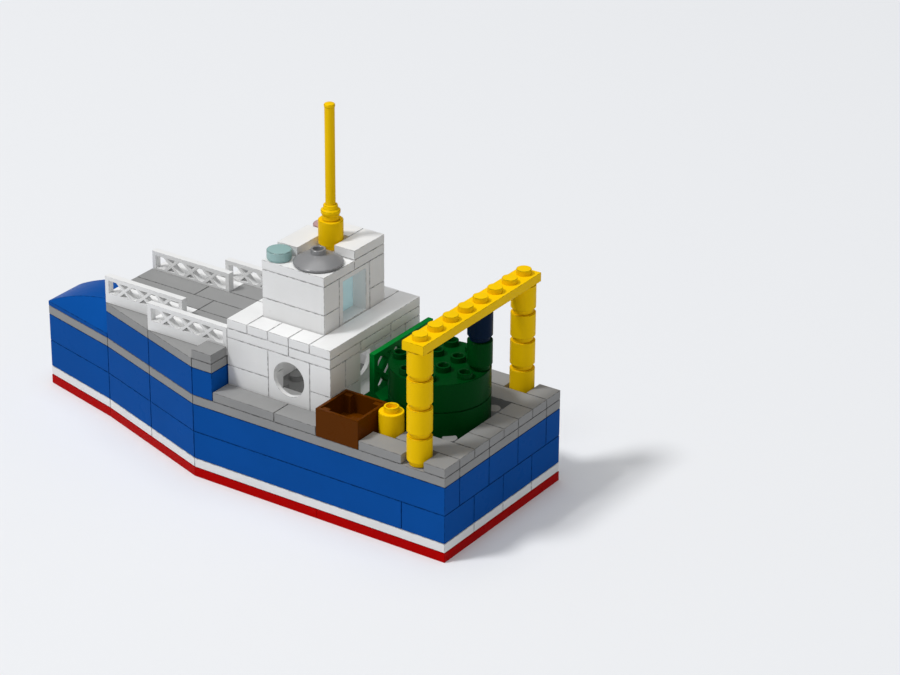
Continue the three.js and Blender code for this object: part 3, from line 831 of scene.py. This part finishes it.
def trellis_foot(corner, length):
    base, base_top, inside = TRELLIS["base"], TRELLIS["base_top"], SIDE_GAP + TUCK
    thin, wide = TRELLIS["thickness"] / 2 - TUCK, TRELLIS["base_width"] / 2
    outline = [(-wide, STACK_GAP), (wide, STACK_GAP), (wide, base), (thin, base_top), (-thin, base_top),
               (-wide, base)]
    foot = bmesh.new()
    ends = []
    for y in (inside, length - inside):
        ends.append([foot.verts.new((corner.x + x, corner.y + y, corner.z + z)) for x, z in outline])
    foot.faces.new(ends[0])
    foot.faces.new(ends[1][::-1])
    wall_round(foot, *ends)
    bmesh.ops.recalc_face_normals(foot, faces=foot.faces)
    soften(foot, FINE_ROUND)
    return foot


def trellis():
    length = (TRELLIS["v1"] - TRELLIS["v0"]) * STUD
    height, thickness, post = (TRELLIS[k] for k in ("height", "thickness", "post"))
    low, high = (post, TRELLIS["base_top"]), (length - post, height - TRELLIS["rail"])
    outline = rectangle(SIDE_GAP, length - SIDE_GAP, 0, height)
    panel = flat_shape([outline] + trellis_holes(low, high), thickness, FINE_ROUND)
    corner = place(TRELLIS["u"], TRELLIS["v1"], DECK)
    return [moved(panel, standing(corner, corner.x - thickness / 2)), trellis_foot(corner, length)]


# Barrel: its place on the deck, in studs
BARREL = (3.5, 1.5)


def barrel():
    return [round_brick(*BARREL, DECK), stud(*BARREL, DECK + BRICK, hollow=True)]


# Fish crate: its size, walls and corner posts in studs, its floor and the drop of the posts' tops in plates
CRATE = dict(u=4, v=0, size=2, wall=0.15, floor=1, post_u=0.49, post_v=0.38, post_drop=0.1)
CRATE_ROUND = 0.13 * MM
CRATE_FLOOR_GAP = 0.2 * MM


def fish_crate():
    u, v, size, wall = (CRATE[k] for k in ("u", "v", "size", "wall"))
    length, thick = size * STUD, wall * STUD
    outline = rectangle(SIDE_GAP, length - SIDE_GAP, SIDE_GAP, length - SIDE_GAP)
    room = rectangle(thick, length - thick, thick, length - thick)
    corner = place(u, v + size, DECK)
    walls = moved(flat_shape([outline, room], BRICK * PLATE, CRATE_ROUND), Matrix.Translation(corner))
    square = rectangle(u, u + size, v, v + size)
    parts = [walls, prism(square, DECK, DECK + CRATE["floor"], gap=CRATE_FLOOR_GAP)]
    u_spans, v_spans = (
        ((wall / 2, post), (size - post, size - wall / 2)) for post in (CRATE["post_u"], CRATE["post_v"])
    )
    for u_span in u_spans:
        for v_span in v_spans:
            corners = rectangle(*(u + d for d in u_span), *(v + d for d in v_span))
            parts.append(prism(corners, DECK, DECK + BRICK - CRATE["post_drop"], gap=0))
    return parts


# Rigging on the wheelhouse: places in studs, and profiles as (radius, height) pairs in millimetres
DISH_PLACE = (8, 3)
MAST_PLACE = (8.5, 4.5)
LAMP_PLACES = {"lamp_port": (9.5, 2.5), "lamp_starboard": (9.5, 5.5)}
DISH_SOCKET = [(0, 1.9), (2.5, 1.9), (2.5, 0.25), (3.3, 0.25)]
DISH_UNDERSIDE = [(3.3, 2.3), (5.6, 1.5), (7.3, 0.55)]
DISH_RIM = [(7.45, 0.2), (7.7, 0.2), (7.85, 0.35), (7.85, 0.8), (7.7, 0.95)]
DISH_TOP = [(6.0, 2.1), (4.2, 2.9), (2.9, 3.25)]
DISH_STUD = [(2.4, 3.5), (2.4, 4.85), (2.25, 5.0), (1.75, 5.0), (1.6, 4.85), (1.6, 3.1), (0, 3.1)]
MAST_SOCKET = [(0, 1.9), (2.5, 1.9), (2.5, 0.1), (2.65, 0.1), (2.75, 0.2)]
MAST_SKIRT = [(2.75, 1.55), (2.8, 1.65), (3.02, 2.15), (3.1, 2.3), (3.1, 3.1), (3.0, 3.25)]
MAST_NECK = [(2.4, 3.7), (2.3, 3.85), (2.3, 4.75), (2.2, 4.9), (1.75, 5.0), (1.65, 5.1), (1.6, 5.3)]
LAMP_PROFILE = [(0, 0.03), (3.7, 0.03), (3.7, 0.5), (3.85, 0.5), (3.97, 0.62), (3.97, 2.9), (3.85, 3.05),
                (3.6, 3.17), (0, 3.17)]

# The mast's height, and the knob at its tip as (radius, depth below the tip)
MAST_HEIGHT = 12 * PLATE / MM
MAST_KNOB = [(1.6, 1.2), (1.75, 1.0), (1.75, 0.4), (1.6, 0.15), (1.3, 0), (0, 0)]


def dish_plate():
    """The roof plate that carries the dish on its one stud."""
    plate = prism(rectangle(7, 10, 2, 4), WHEELHOUSE_WALLS, WHEELHOUSE_ROOF)
    return [plate, stud(*DISH_PLACE, WHEELHOUSE_ROOF)]


def radar_dish():
    profile = DISH_SOCKET + DISH_UNDERSIDE + DISH_RIM + DISH_TOP + DISH_STUD
    return [turned_mm(profile, place(*DISH_PLACE, WHEELHOUSE_ROOF), DISH_SIDES)]


def mast_base():
    return [round_brick(*MAST_PLACE, WHEELHOUSE_ROOF), stud(*MAST_PLACE, WHEELHOUSE_ROOF + BRICK)]


def mast():
    knob = [(radius, MAST_HEIGHT - depth) for radius, depth in MAST_KNOB]
    profile = MAST_SOCKET + MAST_SKIRT + MAST_NECK + knob
    return [turned_mm(profile, place(*MAST_PLACE, WHEELHOUSE_ROOF + BRICK), ROUND_SIDES)]


def lamp(u, v):
    return [turned_mm(LAMP_PROFILE, place(u, v, WHEELHOUSE_ROOF), ROUND_SIDES)]


# Build everything
moulding("bottom_plates", bottom_plates())
for node, rows in COURSES.items():
    moulding(node, course(*rows))
moulding("deck_plates", deck_plates())
for node, rows in TILES.items():
    moulding(node, [prism(rectangle(*row[:4]), *row[4:]) for row in rows])
moulding("bow_wedge", bow_wedge(), smooth=BOW_SMOOTH_ANGLE)
for node, (fence_u, fence_v) in FENCES.items():
    moulding(node, fence(fence_u, fence_v))
for node, row in PORTHOLES.items():
    moulding(node, porthole_panel(*row))
for node, frame_u in WINDOW_FRAMES.items():
    moulding(node, window_frame(frame_u))
for node in PANES:
    moulding(node, pane(node))
moulding("wheelhouse_roof_plate_port", dish_plate())
moulding("radar_dish", radar_dish())
moulding("mast_base", mast_base())
moulding("mast", mast())
for node, lamp_place in LAMP_PLACES.items():
    moulding(node, lamp(*lamp_place))
for node, pillar_v in PILLARS.items():
    moulding(node, pillar(pillar_v))
moulding("gantry_beam", gantry_beam())
moulding("net_drum_lower", [drum(DECK)])
moulding("net_drum_upper", [drum(DECK + BRICK)] + drum_studs())
moulding("net_column_lower", [round_brick(*COLUMN, DECK + 2 * BRICK)])
moulding("net_column_upper", [round_brick(*COLUMN, DECK + 3 * BRICK)])
moulding("net_trellis", trellis())
moulding("fish_crate", fish_crate())
moulding("barrel", barrel())


# Camera: the photograph's angle in degrees, the eye and the sensor in millimetres, the focal length in
# pixels of the photograph's width, and the nearest distance seen, in metres
AZIMUTH, ELEVATION, ROLL = 214.205, 25.993, 0.41
EYE = (-551.634, 711.989, 477.013)
FOCAL, FRAME_WIDTH = 3146.06, 900
SENSOR_WIDTH = 36
NEAREST = 0.01


def camera():
    azimuth, elevation, roll = (math.radians(a) for a in (AZIMUTH, ELEVATION, ROLL))
    eye = Vector(EYE) * MM
    right = Vector((math.cos(azimuth), math.sin(azimuth), 0))
    back = Vector((math.sin(azimuth) * math.cos(elevation), -math.cos(azimuth) * math.cos(elevation),
                   math.sin(elevation)))
    up = back.cross(right)
    right, up = right * math.cos(roll) + up * math.sin(roll), up * math.cos(roll) - right * math.sin(roll)
    data = bpy.data.cameras.new("camera")
    data.sensor_width = SENSOR_WIDTH
    data.lens = FOCAL / FRAME_WIDTH * data.sensor_width
    data.clip_start = NEAREST
    made = bpy.data.objects.new("camera", data)
    made.matrix_world = Matrix((
        (right.x, up.x, back.x, eye.x),
        (right.y, up.y, back.y, eye.y),
        (right.z, up.z, back.z, eye.z),
        (0, 0, 0, 1),
    ))
    bpy.context.scene.collection.objects.link(made)
    bpy.context.scene.camera = made


# Floor: a round sheet of matt pale card, its radius in metres
FLOOR_RADIUS, FLOOR_SIDES = 6, 64
FLOOR = {"Base Color": (0.79, 0.80, 0.82, 1), "Roughness": 0.9, "Specular IOR Level": 0.1}


def floor():
    mesh = bpy.data.meshes.new("floor")
    part = bmesh.new()
    bmesh.ops.create_circle(part, cap_ends=True, radius=FLOOR_RADIUS, segments=FLOOR_SIDES)
    part.to_mesh(mesh)
    part.free()
    made = bpy.data.objects.new("floor", mesh)
    material = bpy.data.materials.new("floor")
    material.use_nodes = True
    shader = material.node_tree.nodes["Principled BSDF"]
    set_inputs(shader, FLOOR)
    mesh.materials.append(material)
    bpy.context.scene.collection.objects.link(made)


# Soft lights: the direction towards each, its distance and width in metres, its power in watts
LIGHTS = {
    "key": dict(direction=(0.326, 0.417, 0.85), distance=6.0, size=1.1, power=206),
    "fill": dict(direction=(-0.62, 0.56, 0.5), distance=6.0, size=1.2, power=40, shadow=False),
    "overhead": dict(direction=(0.05, 0.0, 1.0), distance=5.0, size=4.0, power=108),
}

# Light under the cabin's roof: its place in studs and plates, its radius and its power
CABIN_LIGHT = dict(at=(8.0, 4.0, 14.0), radius=3 * MM, power=0.0016)


def area_light(name, direction, distance, size, power, shadow=True):
    data = bpy.data.lights.new(name, "AREA")
    data.shape = "DISK"
    data.size = size
    data.energy = power
    data.use_shadow = shadow
    made = bpy.data.objects.new(name, data)
    aim = Vector(direction).normalized()
    made.location = aim * distance
    made.rotation_euler = aim.to_track_quat("Z", "Y").to_euler()
    bpy.context.scene.collection.objects.link(made)


def cabin_light():
    """A faint light under the cabin's roof, for what shows through the portholes."""
    data = bpy.data.lights.new("cabin", "POINT")
    data.energy = CABIN_LIGHT["power"]
    data.shadow_soft_size = CABIN_LIGHT["radius"]
    made = bpy.data.objects.new("cabin", data)
    made.location = place(*CABIN_LIGHT["at"])
    bpy.context.scene.collection.objects.link(made)


# Surround: weak even light from all round, behind a pale backdrop
SURROUND = {"Color": (0.94, 0.97, 1.0, 1), "Strength": 0.17}
BACKDROP = {"Color": (0.84, 0.86, 0.89, 1), "Strength": 0.95}


def world():
    made = bpy.data.worlds.new("studio")
    made.use_nodes = True
    nodes, links = made.node_tree.nodes, made.node_tree.links
    surround, backdrop = nodes["Background"], nodes.new("ShaderNodeBackground")
    set_inputs(surround, SURROUND)
    set_inputs(backdrop, BACKDROP)
    path = nodes.new("ShaderNodeLightPath")
    mix = nodes.new("ShaderNodeMixShader")
    links.new(path.outputs["Is Camera Ray"], mix.inputs["Fac"])
    links.new(surround.outputs["Background"], mix.inputs[1])
    links.new(backdrop.outputs["Background"], mix.inputs[2])
    links.new(mix.outputs["Shader"], nodes["World Output"].inputs["Surface"])
    bpy.context.scene.world = made


camera()
floor()
world()
for name, light in LIGHTS.items():
    area_light(name, **light)
cabin_light()

bpy.context.scene.view_settings.view_transform = "Standard"
